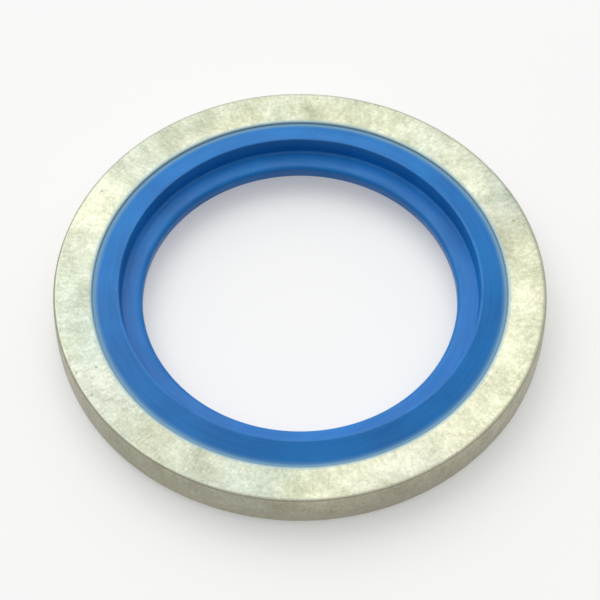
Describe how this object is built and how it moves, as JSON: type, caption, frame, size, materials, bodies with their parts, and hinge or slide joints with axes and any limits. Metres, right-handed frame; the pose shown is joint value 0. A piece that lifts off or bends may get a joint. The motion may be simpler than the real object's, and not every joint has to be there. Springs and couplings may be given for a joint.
{
  "type": "bonded sealing washer",
  "caption": "Self-centring bonded sealing washer: a zinc-plated steel ring with a blue rubber bead and a thin centring web moulded in its bore.",
  "frame": {"origin": "on the washer's axis, level with the lower crest that it lies on", "axes": "+Z along the washer's axis, from the lower face to the upper face with the rolled-over rim edge"},
  "size_m": [0.0238, 0.0238, 0.0026],
  "materials": {
    "plated_steel": "tumbled, zinc plated with a pale yellow-green passivate, satin and fine-grained",
    "blue_rubber": "smooth compression-moulded rubber, semi-gloss"
  },
  "bodies": {
    "root": {"metal_ring": "plated_steel", "rubber_seal": "blue_rubber"}
  },
  "joints": []
}
